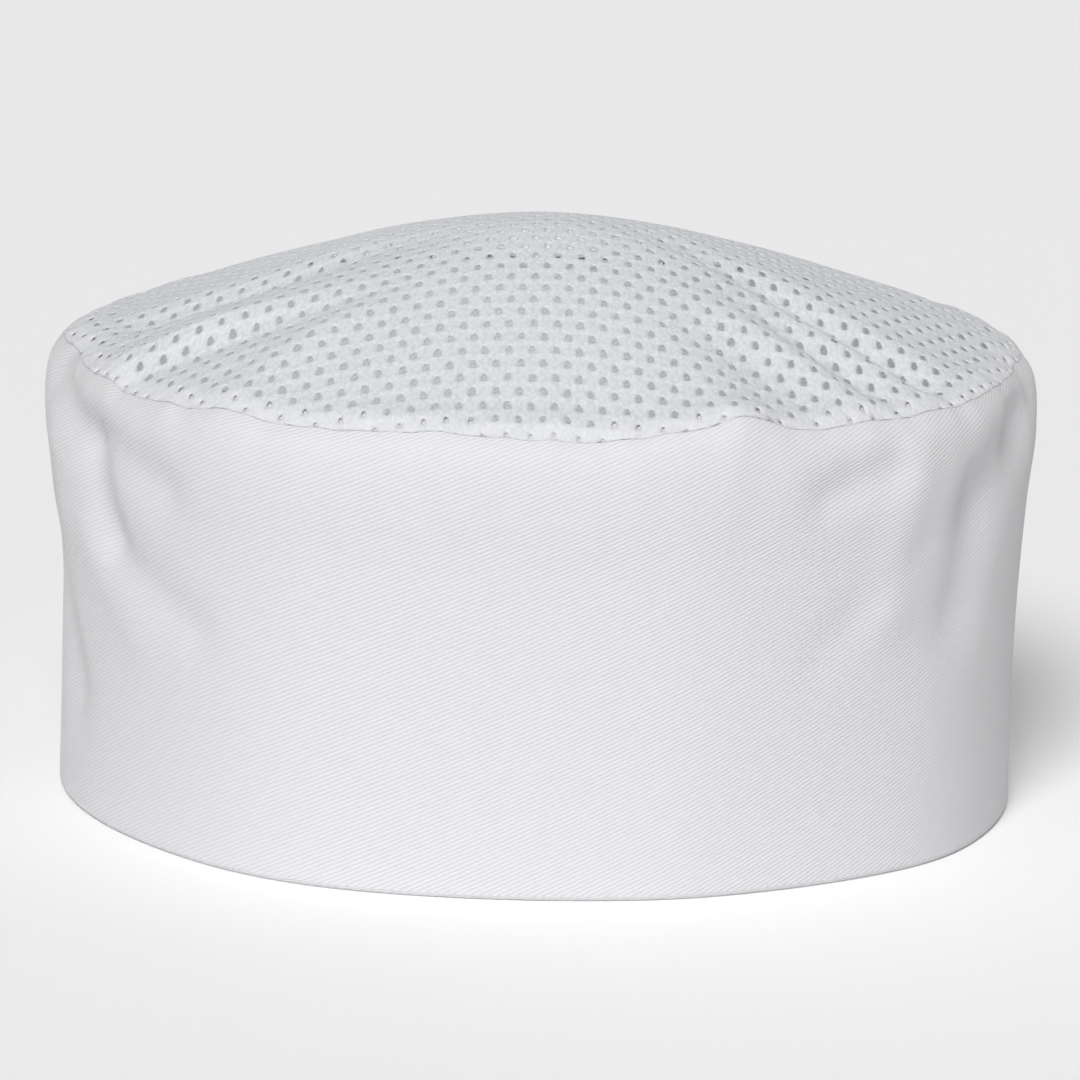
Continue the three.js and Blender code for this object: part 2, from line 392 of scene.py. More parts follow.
    def knit_height(self, x: np.ndarray, y: np.ndarray) -> np.ndarray:
        """Height of the knit's face, with its edge dressed.

        Formula: near the seam the cloth stands up in a low welt, a bell across the seam whose
        height varies round the cap by two sines.

        Args:
            x: Plan coordinate to the right.
            y: Plan coordinate to the back.

        Returns:
            The heights in millimetres.
        """
        share, angle = self.outward_share(x, y)
        turn = np.radians(angle)
        lumps = (1.0 + 0.35 * np.sin(17 * turn + 1.0)
                 + 0.3 * np.sin(41 * turn + 2.0 * np.sin(4 * turn)))
        across = bell(self.inward(share, angle) - self.welt_inset, self.welt_width)
        welt = self.welt_height * lumps * across
        return self.crown_height(x, y) + welt


# Writing meshes and materials


def place(angle: np.ndarray, reach: np.ndarray, height: np.ndarray) -> np.ndarray:
    """Points from an angle, a reach in plan and a height, as an array ending in x, y, z."""
    turn = np.radians(angle)
    parts = np.broadcast_arrays(np.sin(turn) * reach, -np.cos(turn) * reach, height)
    return np.stack(parts, axis=-1)


def write_mesh(name: str, points: np.ndarray, quads: np.ndarray,
               corner_uv: np.ndarray) -> bpy.types.Object:
    """Puts a quad mesh into the scene in one go.

    Args:
        name: The object's name.
        points: Vertex places in millimetres, one row each.
        quads: Four vertex numbers for each face.
        corner_uv: Place of each face corner on the flat cloth, in metres.

    Returns:
        The new object, smooth shaded, at the origin.
    """
    mesh = bpy.data.meshes.new(name)
    mesh.vertices.add(len(points))
    mesh.vertices.foreach_set("co", (points * MM).astype(np.float32).ravel())
    mesh.loops.add(quads.size)
    mesh.loops.foreach_set("vertex_index", quads.astype(np.int32).ravel())
    mesh.polygons.add(len(quads))
    mesh.polygons.foreach_set("loop_start", np.arange(0, quads.size, 4, dtype=np.int32))
    layer = mesh.uv_layers.new(name=CLOTH_UV)
    mesh.update(calc_edges=True)
    mesh.polygons.foreach_set("use_smooth", np.ones(len(quads), dtype=bool))
    layer.data.foreach_set("uv", corner_uv.astype(np.float32).ravel())
    mesh.validate()
    piece = bpy.data.objects.new(name, mesh)
    bpy.context.collection.objects.link(piece)
    return piece


def linear(colour: str) -> tuple[float, float, float, float]:
    """Turns an sRGB hex colour into linear red, green, blue and a full alpha."""
    channels = [int(colour[i:i + 2], 16) / 255.0 for i in (1, 3, 5)]
    light = [c / 12.92 if c <= 0.04045 else ((c + 0.055) / 1.055) ** 2.4 for c in channels]
    return (*light, 1.0)


def add_node(tree: bpy.types.NodeTree, kind: str, inputs: dict[Any, Any] | None = None,
             **settings: Any) -> bpy.types.Node:
    """Adds a node with its settings and links.

    Args:
        tree: The node tree.
        kind: Blender's name for the kind of node.
        inputs: For each input's name or number, a value or the output that feeds it.
        settings: Attributes of the node.

    Returns:
        The new node.
    """
    node = tree.nodes.new(kind)
    for name, value in settings.items():
        setattr(node, name, value)
    for socket, value in (inputs or {}).items():
        if isinstance(value, bpy.types.NodeSocket):
            tree.links.new(value, node.inputs[socket])
        else:
            node.inputs[socket].default_value = value
    return node


@dataclass(frozen=True)
class TwillFinish:
    """White cotton and polyester twill, woven and washed: matt, with fine slanting ribs.

    The ribs are 0.76 mm apart, rise to the right at 25 degrees and stand 0.06 mm high, which
    gives the fine diagonal hatching. Slubs bend them a little, and the grain of the yarn, counted
    for each metre along and across the ribs, breaks them up. The grooves between the ribs are
    coloured darker than the rib tops, a painted shade.
    """

    colour: str = "#e6e6e8"
    groove_painted_shade: str = "#dadadd"
    rib_pitch: float = 0.755
    rib_slant: float = 25.5
    rib_height: float = 0.06
    rib_top: float = 0.8
    slub_size: float = 6.0
    slub_bend: float = 0.35
    yarn_grain: tuple[float, float, float] = (500.0, 2400.0, 1.0)
    yarn_share: float = 0.5
    roughness: float = 0.92
    glow_through: float = 0.12

    def material(self) -> bpy.types.Material:
        """Builds the node material: ribs and slubs from the cloth's own coordinates."""
        cloth = bpy.data.materials.new("woven_cotton_twill")
        cloth.use_nodes = True
        tree = cloth.node_tree
        tree.nodes.clear()
        place_on_cloth = add_node(tree, "ShaderNodeUVMap", uv_map=CLOTH_UV).outputs[0]
        slant = math.radians(self.rib_slant)
        across = Vector((-math.sin(slant), math.cos(slant), 0.0)) / (self.rib_pitch * MM)
        count = add_node(tree, "ShaderNodeVectorMath", {0: place_on_cloth, 1: across},
                         operation="DOT_PRODUCT").outputs["Value"]
        wander = add_node(tree, "ShaderNodeTexNoise", {
            "Vector": place_on_cloth, "Scale": 1.0 / (self.slub_size * MM), "Detail": 2.0,
        }).outputs["Fac"]
        bent = add_node(tree, "ShaderNodeMath", {0: wander, 1: self.slub_bend, 2: count},
                        operation="MULTIPLY_ADD").outputs[0]
        phase = add_node(tree, "ShaderNodeMath", {0: bent, 1: 2.0 * math.pi},
                         operation="MULTIPLY").outputs[0]
        wave = add_node(tree, "ShaderNodeMath", {0: phase}, operation="SINE").outputs[0]
        rib = add_node(tree, "ShaderNodeMapRange", {
            "Value": wave, "From Min": -1.0, "From Max": self.rib_top, "To Min": 0.0, "To Max": 1.0,
        }, interpolation_type="SMOOTHSTEP").outputs[0]
        turned = add_node(tree, "ShaderNodeMapping", {
            "Vector": place_on_cloth, "Rotation": (0.0, 0.0, -slant),
            "Scale": self.yarn_grain,
        }).outputs[0]
        yarn = add_node(tree, "ShaderNodeTexNoise", {
            "Vector": turned, "Scale": 1.0, "Detail": 2.0,
        }).outputs["Fac"]
        relief = add_node(tree, "ShaderNodeMath", {0: yarn, 1: self.yarn_share, 2: rib},
                          operation="MULTIPLY_ADD").outputs[0]
        bump = add_node(tree, "ShaderNodeBump", {
            "Height": relief, "Strength": 1.0, "Distance": self.rib_height * MM,
        }).outputs[0]
        # Painted shade: the cloth is coloured darker in the grooves between the ribs than on their
        # tops.
        tint = add_node(tree, "ShaderNodeMix", {
            0: rib, 6: linear(self.groove_painted_shade), 7: linear(self.colour),
        }, data_type="RGBA").outputs[2]
        return finish_cloth(cloth, tint, bump, self.roughness, self.glow_through)


@dataclass(frozen=True)
class KnitFinish:
    """White polyester warp knit, heat set: matt, slightly fuzzy loops, and thin enough to glow.

    The yarns cross halfway between each hole and its neighbours in the next rows, and the
    crossings stand up and catch the light. The low places between the loops and crossings are
    coloured darker, a painted shade. The real loops and fuzz are too fine to show, so they
    are drawn at 0.75 and 0.28 mm. The cloth is whiter at the seam, where it lies double.
    """

    colour: str = "#f8f9fb"
    hollow_painted_shade: str = "#e4e6ea"
    hole_pitch: float = 4.35
    row_pitch: float = 4.25
    loop_size: float = 0.75
    loop_height: float = 0.09
    loop_turn: float = 0.6
    loop_stretch: float = 0.6
    loop_softness: float = 0.6
    loop_reach: tuple[float, float] = (0.75, 0.05)
    fuzz_size: float = 0.28
    fuzz_share: float = 1.6
    painted_shade_reach: tuple[float, float] = (0.7, 2.1)
    knot_share: float = 0.5
    doubled_colour: str = "#ffffff"
    doubled_share: float = 0.45
    roughness: float = 0.85
    glow_through: float = 0.28

    def material(self) -> bpy.types.Material:
        """Builds the node material: crossings, loops and fuzz from the cloth's coordinates."""
        cloth = bpy.data.materials.new("warp_knit_mesh")
        cloth.use_nodes = True
        tree = cloth.node_tree
        tree.nodes.clear()
        place_on_cloth = add_node(tree, "ShaderNodeUVMap", uv_map=CLOTH_UV).outputs[0]
        split = add_node(tree, "ShaderNodeSeparateXYZ", {0: place_on_cloth})
        ridges = []
        for axis, pitch in ((0, self.hole_pitch / 2.0), (1, self.row_pitch)):
            turn = add_node(tree, "ShaderNodeMath", {
                0: split.outputs[axis], 1: 2.0 * math.pi / (pitch * MM),
            }, operation="MULTIPLY").outputs[0]
            wave = add_node(tree, "ShaderNodeMath", {0: turn}, operation="COSINE").outputs[0]
            ridges.append(add_node(tree, "ShaderNodeMapRange", {
                "Value": wave, "From Min": 0.0, "From Max": -1.0, "To Min": 0.0, "To Max": 1.0,
            }, interpolation_type="SMOOTHSTEP").outputs[0])
        knots = add_node(tree, "ShaderNodeMath", {0: ridges[0], 1: ridges[1]},
                         operation="MULTIPLY").outputs[0]
        turned = add_node(tree, "ShaderNodeMapping", {
            "Vector": place_on_cloth, "Rotation": (0.0, 0.0, self.loop_turn),
            "Scale": (1.0, self.loop_stretch, 1.0),
        }).outputs[0]
        loops = add_node(tree, "ShaderNodeTexVoronoi", {
            "Vector": turned, "Scale": 1.0 / (self.loop_size * MM),
            "Smoothness": self.loop_softness,
        }, feature="SMOOTH_F1", voronoi_dimensions="2D").outputs["Distance"]
        tops = add_node(tree, "ShaderNodeMapRange", {
            "Value": loops, "From Min": self.loop_reach[0], "From Max": self.loop_reach[1],
            "To Min": 0.0, "To Max": 1.0,
        }).outputs[0]
        fuzz = add_node(tree, "ShaderNodeTexNoise", {
            "Vector": place_on_cloth, "Scale": 1.0 / (self.fuzz_size * MM), "Detail": 3.0,
            "Roughness": 0.6,
        }).outputs["Fac"]
        grain = add_node(tree, "ShaderNodeMath", {0: fuzz, 1: self.fuzz_share, 2: tops},
                         operation="MULTIPLY_ADD").outputs[0]
        crossings = add_node(tree, "ShaderNodeMath", {0: knots, 1: self.knot_share},
                             operation="MULTIPLY").outputs[0]
        relief = add_node(tree, "ShaderNodeMath", {0: grain, 1: crossings},
                          operation="ADD").outputs[0]
        bump = add_node(tree, "ShaderNodeBump", {
            "Height": relief, "Strength": 1.0, "Distance": self.loop_height * MM,
        }).outputs[0]
        # Painted shade: the lower the relief of the loops and crossings, the nearer the colour
        # comes to the darker hollow shade.
        light = add_node(tree, "ShaderNodeMapRange", {
            "Value": relief, "From Min": self.painted_shade_reach[0], "From Max": self.painted_shade_reach[1],
            "To Min": 0.0, "To Max": 1.0,
        }).outputs[0]
        tint = add_node(tree, "ShaderNodeMix", {
            0: light, 6: linear(self.hollow_painted_shade), 7: linear(self.colour),
        }, data_type="RGBA").outputs[2]
        doubled = add_node(tree, "ShaderNodeAttribute", attribute_name=DOUBLED).outputs["Fac"]
        share = add_node(tree, "ShaderNodeMath", {0: doubled, 1: self.doubled_share},
                         operation="MULTIPLY").outputs[0]
        tint = add_node(tree, "ShaderNodeMix", {
            0: share, 6: tint, 7: linear(self.doubled_colour),
        }, data_type="RGBA").outputs[2]
        return finish_cloth(cloth, tint, bump, self.roughness, self.glow_through)


def finish_cloth(cloth: bpy.types.Material, tint: bpy.types.NodeSocket, bump: bpy.types.NodeSocket,
                 roughness: float, glow: float) -> bpy.types.Material:
    """Ends a cloth's node tree: a matt surface mixed with light that comes through.

    Args:
        cloth: The material.
        tint: Output with its colour.
        bump: Output with its bumped normal.
        roughness: Roughness of the surface.
        glow: Share of light that passes through the cloth.

    Returns:
        The same material.
    """
    tree = cloth.node_tree
    surface = add_node(tree, "ShaderNodeBsdfPrincipled", {
        "Base Color": tint, "Normal": bump, "Roughness": roughness,
        "Specular IOR Level": 0.2, "Sheen Weight": 0.15, "Sheen Roughness": 0.6,
    }).outputs[0]
    through = add_node(tree, "ShaderNodeBsdfTranslucent",
                       {"Color": tint, "Normal": bump}).outputs[0]
    mixed = add_node(tree, "ShaderNodeMixShader", {0: glow, 1: surface, 2: through}).outputs[0]
    add_node(tree, "ShaderNodeOutputMaterial", {"Surface": mixed})
    return cloth


@dataclass
class Band:
    """The twill side band: a double wall folded at the rim, with its lip turned in at the seam."""

    form: CapForm
    finish: TwillFinish = field(default_factory=TwillFinish)
    columns: int = 640
    outer_rows: int = 77
    edge_share: float = 0.992
    inner_rows: int = 40
    fold_rows: int = 7
    lip_rows: int = 9
    lip_thickness: float = 0.9
    groove_depth: float = 0.5
    lip_width: float = 4.5
    lip_drop: float = 0.3
    lip_run: float = 3.0
    inner_top: float = 0.86
    relief_top: float = 0.97
    section_samples: int = 800
    pucker_height: float = 0.07
    pucker_drop: float = 4.0
    pucker_reach: float = 12.0
    back_seam_width: float = 0.9
    back_seam_depth: float = 0.7

    def pucker(self, angle: np.ndarray, height: np.ndarray) -> np.ndarray:
        """Small gathers under the seam: three sines round the cap that fade down the wall."""
        turn = np.radians(angle)
        waves = (np.sin(37 * turn + 0.6) + 0.7 * np.sin(61 * turn + 2.1 + 1.5 * np.sin(3 * turn))
                 + 0.6 * np.sin(23 * turn + 4.0))
        below = self.form.band_height - height
        return self.pucker_height * waves * bell(below - self.pucker_drop, self.pucker_reach)

    def back_seam(self, angle: np.ndarray, reach: np.ndarray) -> np.ndarray:
        """The joining seam at the back: a narrow bell-shaped groove down the whole wall."""
        across = np.radians(turn_between(angle, 180.0)) * reach
        return -self.back_seam_depth * bell(across, self.back_seam_width)

    def outer(self, angle: np.ndarray, share: np.ndarray) -> tuple[np.ndarray, np.ndarray]:
        """Reach and height of the outer face, with its puckers and back seam."""
        reach, height = self.form.outer_reach(angle, share)
        fade = 1.0 - smooth(self.relief_top, 1.0, share)
        reach = reach + (self.pucker(angle, height) + self.back_seam(angle, reach)) * fade
        return reach, height

    def inner(self, angle: np.ndarray, share: np.ndarray) -> tuple[np.ndarray, np.ndarray]:
        """Reach and height of the inner face: the outer one moved in along its section's normal."""
        step = 0.01
        low = self.form.outer_reach(angle, np.maximum(share - step, 0.0))
        high = self.form.outer_reach(angle, np.minimum(share + step, 1.0))
        here = self.form.outer_reach(angle, share)
        out = high[1] - low[1]
        up = low[0] - high[0]
        length = np.hypot(out, up)
        thickness = self.form.band_thickness
        return here[0] - thickness * out / length, here[1] - thickness * up / length

    def wall_shares(self, rows: int, start_height: float, end_share: float) -> np.ndarray:
        """Section shares evenly spaced along the wall.

        Args:
            rows: How many.
            start_height: Height of the first one.
            end_share: Share of the last one.

        Returns:
            The shares, from the rim up.
        """
        dense = np.linspace(0.0, 1.0, self.section_samples)
        side, _, height = self.form.section_at(dense)
        run = np.concatenate([[0.0], np.cumsum(np.hypot(np.diff(side), np.diff(height)))])
        first = np.interp(start_height, height, run)
        last = np.interp(end_share, dense, run)
        return np.interp(np.linspace(first, last, rows), run, dense)

    def crown_below(self, angle: np.ndarray, inset: np.ndarray, depth: float) -> np.ndarray:
        """Points of the seam's lip, which sags away from the crown as it runs in.

        Args:
            angle: Degrees round the cap.
            inset: How far in from the seam.
            depth: Depth below the crown's face at the seam.

        Returns:
            An array ending in x, y, z.
        """
        reach = self.form.seam_reach(angle) - inset
        turn = np.radians(angle)
        height = self.form.knit_height(np.sin(turn) * reach, -np.cos(turn) * reach)
        sag = self.lip_drop * smooth(0.0, self.lip_run, inset)
        return place(angle, reach, height - depth - sag)

    def points(self) -> np.ndarray:
        """Vertex places, one closed section in each column.

        Returns:
            An array of section points by columns by x, y, z.
        """
        form = self.form
        angle = np.linspace(-180.0, 180.0, self.columns, endpoint=False)[None, :]
        radius = form.band_thickness / 2.0
        shares = np.append(self.wall_shares(self.outer_rows, radius, self.edge_share), 1.0)[:, None]
        outer = place(angle, *self.outer(angle, shares))
        inset = np.linspace(0.0, self.lip_width, self.lip_rows)[:, None]
        top = self.crown_below(angle, inset, self.groove_depth)
        low = self.crown_below(angle, inset[::-1], self.groove_depth + self.lip_thickness)
        inner_shares = self.wall_shares(self.inner_rows, radius, self.inner_top)[::-1, None]
        inner = place(angle, *self.inner(angle, inner_shares))
        turn = np.linspace(0.0, math.pi, self.fold_rows + 2)[1:-1, None]
        centre = self.outer(angle, shares[:1])[0] - radius
        fold = place(angle, centre - radius * np.cos(turn), radius - radius * np.sin(turn))
        return np.concatenate([outer, top, low, inner, fold], axis=0)

    def build(self) -> bpy.types.Object:
        """Builds the band's mesh and dresses it.

        Formula: the closed sections stand side by side round the cap and quads join each to the
        next; on the flat cloth u is the way round at the rim's mean radius and v the way along
        the section.

        Returns:
            The band.
        """
        grid = self.points()
        rows, columns = grid.shape[:2]
        steps = np.linalg.norm(np.diff(grid, axis=0), axis=-1)
        v = np.concatenate([np.zeros((1, columns)), np.cumsum(steps, axis=0)])
        u = np.linspace(-1.0, 1.0, columns + 1) * math.pi * self.form.rim_half_width
        row, column = np.meshgrid(np.arange(rows), np.arange(columns), indexing="ij")
        up = (row + 1) % rows
        beside = (column + 1) % columns
        quads = np.stack([row * columns + column, row * columns + beside,
                          up * columns + beside, up * columns + column], axis=-1).reshape(-1, 4)
        v_up = np.concatenate([v[1:], v[-1:] + 1.0])
        corner_u = np.stack([u[column], u[column + 1], u[column + 1], u[column]], axis=-1)
        corner_v = np.stack([v[row, column], v[row, beside],
                             v_up[row, beside], v_up[row, column]], axis=-1)
        corner_uv = np.stack([corner_u, corner_v], axis=-1) * MM
        piece = write_mesh("twill_band", grid.reshape(-1, 3), quads, corner_uv)
        piece.data.materials.append(self.finish.material())
        return piece


@dataclass
class Crown:
    """The holed knit crown: a pierced sheet that lies on the dome and ends at the seam.

    The cloth is laid out in bricks, one round each hole, in staggered rows. Each brick has five
    rings of twelve points: its outline and a raised pad round the hole on the face, the hole's
    rim, and the rim and the outline on the back.
    """

    RING_POINTS: ClassVar[int] = 12
    RINGS: ClassVar[int] = 5

    form: CapForm
    finish: KnitFinish = field(default_factory=KnitFinish)
    plan_reach: int = 104
    cloth_reach: int = 118
    hole_half_width: float = 0.57
    hole_half_length: float = 1.22
    hole_taper: float = 0.28
    hole_jitter: float = 0.07
    hole_lean: float = 0.06
    hole_shift: float = 0.08
    pad_share: float = 0.58
    pad_height: float = 0.04
    pad_jitter: float = 0.4
    rim_depth: float = 0.12
    rim_back: float = 0.9
    thickness: float = 0.32
    edge_hole_size: float = 0.5
    edge_hole_start: float = 1.0
    edge_hole_reach: float = 6.0
    doubled_start: float = 2.52
    doubled_end: float = 5.04
    skirt_slope: float = 0.04
    seed: int = 7

    def drape_table(self) -> tuple[np.ndarray, np.ndarray, np.ndarray]:
        """Where a place on the flat cloth comes to lie, front to back.

        Formula: along lines of constant x, a millimetre apart, the length over the dome's surface
        is summed up from the cap's middle in steps of half a millimetre of y, and the sum is
        inverted, so that the cloth isn't stretched.

        Returns:
            The x lines, the flat lengths, and the plan y for each pair of them.
        """
        x = np.linspace(-self.plan_reach, self.plan_reach, 2 * self.plan_reach + 1)
        y = np.linspace(-self.plan_reach, self.plan_reach, 4 * self.plan_reach + 1)
        grid_x, grid_y = np.meshgrid(x, y, indexing="ij")
        height = self.form.knit_height(grid_x, grid_y)
        run = np.hypot(np.diff(grid_y, axis=1), np.diff(height, axis=1))
        length = np.concatenate([np.zeros((len(x), 1)), np.cumsum(run, axis=1)], axis=1)
        length -= length[:, [len(y) // 2]]
        flat = np.linspace(-self.cloth_reach, self.cloth_reach, 4 * self.cloth_reach + 1)
        plan = np.stack([np.interp(flat, line, y) for line in length])
        return x, flat, plan

    def drape(self, u: np.ndarray, v: np.ndarray) -> tuple[np.ndarray, np.ndarray]:
        """Plan x and y of places on the flat cloth, read between the lines of drape_table."""
        x, flat, plan = self.drape_table()
        place_x = np.clip((u - x[0]) / (x[1] - x[0]), 0, len(x) - 1.001)
        place_v = np.clip((v - flat[0]) / (flat[1] - flat[0]), 0, len(flat) - 1.001)
        i, j = place_x.astype(int), place_v.astype(int)
        s, t = place_x - i, place_v - j
        y = ((plan[i, j] * (1 - t) + plan[i, j + 1] * t) * (1 - s)
             + (plan[i + 1, j] * (1 - t) + plan[i + 1, j + 1] * t) * s)
        return u, y

    def surface(self, x: np.ndarray, y: np.ndarray, depth: np.ndarray) -> np.ndarray:
        """Points of the crown a depth below its face.

        Formula: the depth is measured along the face's normal, which comes from height
        differences a fifth of a millimetre apart. A place past the seam is drawn back onto it,
        and ends up the lower, the farther out it lay.

        Args:
            x: Plan coordinate to the right.
            y: Plan coordinate to the back.
            depth: Depth below the outer face, positive inwards.

        Returns:
            An array ending in x, y, z.
        """
        step = 0.1
        height_at = self.form.knit_height
        slope_x = (height_at(x + step, y) - height_at(x - step, y)) / (2 * step)
        slope_y = (height_at(x, y + step) - height_at(x, y - step)) / (2 * step)
        share, angle = self.form.outward_share(x, y)
        past = np.maximum(share - 1.0, 0.0) * self.form.seam_reach(angle)
        pull = 1.0 / np.maximum(share, 1.0)
        apex = -self.form.apex_forward
        plan_x = x * pull
        plan_y = apex + (y - apex) * pull
        height = height_at(plan_x, plan_y) - self.skirt_slope * past
        length = np.sqrt(1.0 + slope_x ** 2 + slope_y ** 2)
        inside = share < 1.0
        sink = depth / length
        return np.stack([
            plan_x + np.where(inside, slope_x, 0.0) * sink,
            plan_y + np.where(inside, slope_y, 0.0) * sink,
            height - np.where(inside, sink, depth),
        ], axis=-1)

    def cell_outline(self) -> np.ndarray:
        """Twelve points round one brick of the knit, counterclockwise from its right middle."""
        half, up = self.finish.hole_pitch / 2.0, self.finish.row_pitch / 2.0
        quarter = half / 2.0
        return np.array([
            (half, 0.0), (half, up), (quarter, up), (0.0, up), (-quarter, up), (-half, up),
            (-half, 0.0), (-half, -up), (-quarter, -up), (0.0, -up), (quarter, -up), (half, -up),
        ])

    def hole_outline(self) -> np.ndarray:
        """Twelve points round a hole: an ellipse that narrows towards the back of the cap."""
        outline = self.cell_outline()
        turn = np.arctan2(outline[:, 1] / self.finish.row_pitch,
                          outline[:, 0] / self.finish.hole_pitch)
        width = self.hole_half_width * (1.0 - self.hole_taper * np.sin(turn))
        return np.stack([width * np.cos(turn), self.hole_half_length * np.sin(turn)], axis=-1)

    def cells(self) -> np.ndarray:
        """Middles of the bricks on the flat cloth, in staggered rows, that reach the crown.

        Returns:
            One row of u and v for each brick.
        """
        count = int(self.cloth_reach / self.finish.row_pitch)
        steps = np.arange(-count, count + 1)
        row, column = np.meshgrid(steps, steps, indexing="ij")
        u = (column + 0.5 * (row % 2)) * self.finish.hole_pitch
        v = row * self.finish.row_pitch
        outline = self.cell_outline()
        x, y = self.drape(u[..., None] + outline[:, 0], v[..., None] + outline[:, 1])
        share, _ = self.form.outward_share(x, y)
        return np.stack([u, v], axis=-1)[(share < 1.0).any(axis=-1)]

    def flat_rings(self, middles: np.ndarray) -> tuple[np.ndarray, np.ndarray]:
        """The rings of each brick on the flat cloth, and how deep below the face they lie.

        Formula: each hole is the common outline with its own size, lean and shift, smaller near
        the seam, and the pad's ring divides the way from the brick's outline to the hole.

        Args:
            middles: Middle of each brick, u and v.

        Returns:
            Places in bricks by rings by points by u and v, and depths in bricks by rings by points.
        """
        rng = np.random.default_rng(self.seed)
        count = len(middles)
        size = 1.0 + self.hole_jitter * rng.standard_normal((count, 1, 1))
        lean = self.hole_lean * rng.standard_normal((count, 1))
        shift = self.hole_shift * rng.standard_normal((count, 1, 2))
        inward = self.form.inward(*self.form.outward_share(*self.drape(*middles.T)))
        grown = smooth(self.edge_hole_start, self.edge_hole_reach, inward)
        shrink = self.edge_hole_size + (1.0 - self.edge_hole_size) * grown
        rim = self.hole_outline()[None] * size * shrink[:, None, None]
        rim = np.stack([rim[..., 0] + lean * rim[..., 1], rim[..., 1]], axis=-1) + shift
        edge = np.broadcast_to(self.cell_outline(), rim.shape)
        pad = edge * (1.0 - self.pad_share) + rim * self.pad_share
        flat = np.stack([edge, pad, rim, rim, edge], axis=1) + middles[:, None, None, :]
        lumps = 1.0 + self.pad_jitter * rng.standard_normal((count, self.RING_POINTS))
        depth = np.zeros((count, self.RINGS, self.RING_POINTS))
        depth[:, 1] = -self.pad_height * lumps
        depth[:, 2] = self.rim_depth
        depth[:, 3] = self.thickness * self.rim_back
        depth[:, 4] = self.thickness
        return flat, depth

    def weld(self, flat: np.ndarray) -> tuple[np.ndarray, np.ndarray]:
        """Finds the points that neighbouring bricks share.

        Formula: the points of the outlines lie on a lattice of quarter hole pitches by half row
        pitches, and those with the same lattice place on the same side of the cloth are one. A
        point of a pad or of a hole's rim is shared with no other.

        Args:
            flat: Places in bricks by rings by points by u and v.

        Returns:
            The number of one old point for each new one, and the new number of each old one.
        """
        spots = flat.reshape(-1, 2)
        pitch = (self.finish.hole_pitch / 4.0, self.finish.row_pitch / 2.0)
        ring = np.tile(np.repeat(np.arange(self.RINGS), self.RING_POINTS), len(flat))
        shared = (ring == 0) | (ring == self.RINGS - 1)
        own = np.stack([np.arange(len(spots)), np.zeros(len(spots))], axis=-1)
        keys = np.where(shared[:, None], np.round(spots / pitch), own)
        keys = np.column_stack([keys, ring]).astype(np.int64)
        _, first, merged = np.unique(keys, axis=0, return_index=True, return_inverse=True)
        return first, merged.ravel()

    def build(self) -> bpy.types.Object:
        """Builds the pierced crown and dresses it.

        Formula: quads join each ring of a brick to its next ring, bricks share the points of
        their outlines, and a wall of quads closes the crown's outer edge.

        Returns:
            The crown.
        """
        flat, depth = self.flat_rings(self.cells())
        x, y = self.drape(flat[..., 0], flat[..., 1])
        points = self.surface(x, y, depth).reshape(-1, 3)
        inward = self.form.inward(*self.form.outward_share(x, y)).ravel()
        doubled = 1.0 - smooth(self.doubled_start, self.doubled_end, inward)

        numbers = np.arange(depth.size).reshape(depth.shape)
        after = (np.arange(self.RING_POINTS) + 1) % self.RING_POINTS
        start, end = numbers, numbers[..., after]
        sides = np.stack([start[:, :-1], end[:, :-1], end[:, 1:], start[:, 1:]], axis=-1)
        first, merged = self.weld(flat)
        numbers = merged[numbers]
        walls = self.outer_wall(numbers[:, 0], numbers[:, -1], after)
        quads = np.concatenate([merged[np.swapaxes(sides, 0, 1)].reshape(-1, 4), walls])

        spots = flat.reshape(-1, 2)[first]
        piece = write_mesh("knit_crown", points[first], quads, spots[quads] * MM)
        layer = piece.data.attributes.new(DOUBLED, "FLOAT", "POINT")
        layer.data.foreach_set("value", doubled[first].astype(np.float32))
        piece.data.materials.append(self.finish.material())
        return piece

    def outer_wall(self, top: np.ndarray, low: np.ndarray, after: np.ndarray) -> np.ndarray:
        """Quads that close the crown's outer edge, where a brick has no neighbour.

        Args:
            top: Vertex numbers of each brick's outline on the face.
            low: The same on the back.
            after: For each point of an outline, the next one.

        Returns:
            The quads.
        """
        start, end = top.ravel(), top[:, after].ravel()
        low_start, low_end = low.ravel(), low[:, after].ravel()
        pairs = np.sort(np.stack([start, end], axis=-1), axis=-1)
        _, which, uses = np.unique(pairs, axis=0, return_inverse=True, return_counts=True)
        alone = uses[which.ravel()] == 1
        return np.stack([start, low_start, low_end, end], axis=-1)[alone]


@dataclass(frozen=True)
class Sun:
    """A far, wide light: watts for each square metre, and its width, turn and rise in degrees.

    The turn goes round the cap from the front and the rise up from the floor.
    """

    name: str
    power: float
    spread: float
    turn: float
    rise: float


@dataclass(frozen=True)
class Glow:
    """A weak light under the cap, with its power in watts and its place in metres."""

    name: str
    power: float
    seat: tuple[float, float, float]


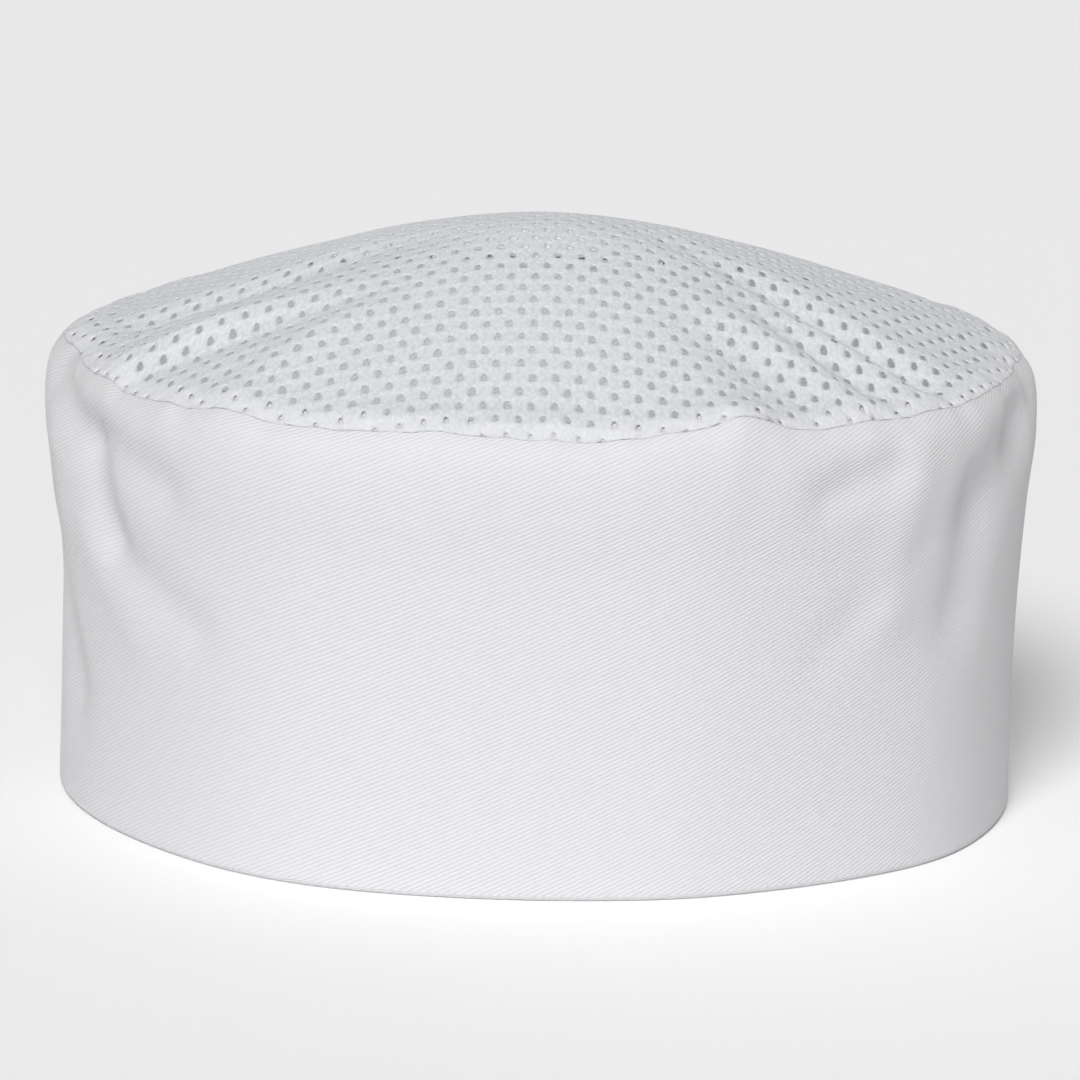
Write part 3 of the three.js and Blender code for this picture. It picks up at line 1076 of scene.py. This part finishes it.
@dataclass
class Studio:
    """Plain pale floor, soft lights and the camera at the photograph's angle, in metres."""

    camera_place: Vector = field(default_factory=lambda: Vector((0.0, -1.164, 0.305)))
    aim: Vector = field(default_factory=lambda: Vector((0.0, 0.0, 0.0488)))
    roll: float = 1.5
    lens: float = 201.97
    sensor: float = 36.0
    floor_size: float = 12.0
    floor_colour: str = "#fcfcfc"
    floor_roughness: float = 0.9
    suns: tuple[Sun, ...] = (
        Sun("key_light", 2.96, 24.0, -10.0, 41.0),
        Sun("back_light", 0.45, 80.0, 150.0, 25.0),
    )
    sun_distance: float = 2.0
    glows: tuple[Glow, ...] = (
        Glow("inner_light", 0.046, (-0.015, 0.028, 0.07)),
        Glow("peak_light", 0.005, (0.0, 0.064, 0.085)),
    )
    glow_radius: float = 0.008
    sky_strength: float = 0.17

    def facing(self, place_at: Vector, target: Vector, roll: float = 0.0) -> Matrix:
        """World matrix of something at a place that looks at a target, with a roll in degrees."""
        turn = (target - place_at).to_track_quat("-Z", "Y").to_matrix().to_4x4()
        return Matrix.Translation(place_at) @ turn @ Matrix.Rotation(math.radians(roll), 4, "Z")

    def camera(self) -> None:
        """Adds the camera and makes it the scene's."""
        data = bpy.data.cameras.new("camera")
        data.lens = self.lens
        data.sensor_width = self.sensor
        data.clip_start = 0.05
        data.clip_end = 50.0
        seat = bpy.data.objects.new("camera", data)
        bpy.context.collection.objects.link(seat)
        seat.matrix_world = self.facing(self.camera_place, self.aim, self.roll)
        bpy.context.scene.camera = seat

    def add_sun(self, sun: Sun) -> None:
        """Adds a far, wide light."""
        data = bpy.data.lights.new(sun.name, "SUN")
        data.energy = sun.power
        data.angle = math.radians(sun.spread)
        lamp = bpy.data.objects.new(sun.name, data)
        bpy.context.collection.objects.link(lamp)
        side, up = math.radians(sun.turn), math.radians(sun.rise)
        way = Vector((math.sin(side) * math.cos(up), -math.cos(side) * math.cos(up), math.sin(up)))
        lamp.matrix_world = self.facing(self.sun_distance * way, Vector((0.0, 0.0, 0.0)))

    def add_glow(self, glow: Glow) -> None:
        """Adds a weak light under the cap, which shows the knit's holes light rather than black."""
        data = bpy.data.lights.new(glow.name, "POINT")
        data.energy = glow.power
        data.shadow_soft_size = self.glow_radius
        lamp = bpy.data.objects.new(glow.name, data)
        bpy.context.collection.objects.link(lamp)
        lamp.location = glow.seat
        lamp.visible_camera = False

    def floor(self) -> None:
        """Adds the floor on which the cap stands."""
        half = self.floor_size / 2.0
        mesh = bpy.data.meshes.new("floor")
        mesh.from_pydata([(-half, -half, 0), (half, -half, 0), (half, half, 0), (-half, half, 0)],
                         [], [(0, 1, 2, 3)])
        paint = bpy.data.materials.new("pale_floor")
        paint.use_nodes = True
        surface = paint.node_tree.nodes["Principled BSDF"]
        surface.inputs["Base Color"].default_value = linear(self.floor_colour)
        surface.inputs["Roughness"].default_value = self.floor_roughness
        mesh.materials.append(paint)
        ground = bpy.data.objects.new("floor", mesh)
        bpy.context.collection.objects.link(ground)

    def build(self) -> None:
        """Sets floor, lights, sky and camera."""
        self.camera()
        self.floor()
        for sun in self.suns:
            self.add_sun(sun)
        for glow in self.glows:
            self.add_glow(glow)
        sky = bpy.data.worlds.new("studio")
        bpy.context.scene.world = sky
        sky.use_nodes = True
        background = sky.node_tree.nodes["Background"]
        background.inputs["Color"].default_value = (1.0, 1.0, 1.0, 1.0)
        background.inputs["Strength"].default_value = self.sky_strength
        bpy.context.scene.view_settings.view_transform = "Standard"


def triangles(piece: bpy.types.Object) -> int:
    """Number of triangles in a mesh of quads."""
    return 2 * len(piece.data.polygons)


def main() -> None:
    """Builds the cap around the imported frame, in order, and reports each piece."""
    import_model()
    form = CapForm()

    band = Band(form).build()
    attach(band, "root")
    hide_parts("band")
    log.info("%s: %d triangles", band.name, triangles(band))

    crown = Crown(form).build()
    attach(crown, "root")
    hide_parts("crown")
    log.info("%s: %d triangles", crown.name, triangles(crown))

    Studio().build()


if __name__ == "__main__":
    logging.basicConfig(level=logging.INFO)
    main()
